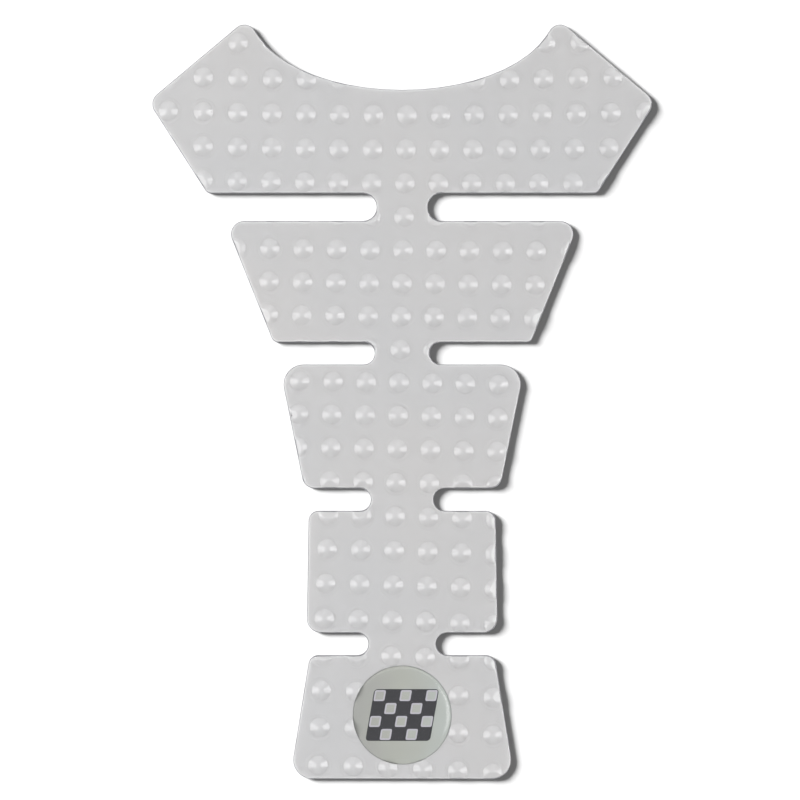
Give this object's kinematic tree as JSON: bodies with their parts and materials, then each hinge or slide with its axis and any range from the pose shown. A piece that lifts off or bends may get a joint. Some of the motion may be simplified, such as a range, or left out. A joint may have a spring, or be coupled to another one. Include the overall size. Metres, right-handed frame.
{
  "type": "motorcycle tank pad",
  "caption": "Studded polyurethane tank pad with winged top, stepped tabs on a slotted spine, and a round domed badge seated near its foot.",
  "frame": {"origin": "middle of the outline, on the adhesive back", "axes": "+Z out of the tank's surface, +Y along the spine towards the winged end, +X to the right seen from above"},
  "size_m": [0.1274, 0.1924, 0.003],
  "materials": {
    "polyurethane_sheet": "moulded, satin gloss, slightly translucent",
    "printed_film": "printed film under resin",
    "clear_resin": "poured, clear, high gloss"
  },
  "bodies": {
    "root": {"grip_pad": "polyurethane_sheet", "badge_film": "printed_film", "badge_dome": "clear_resin"}
  },
  "joints": []
}
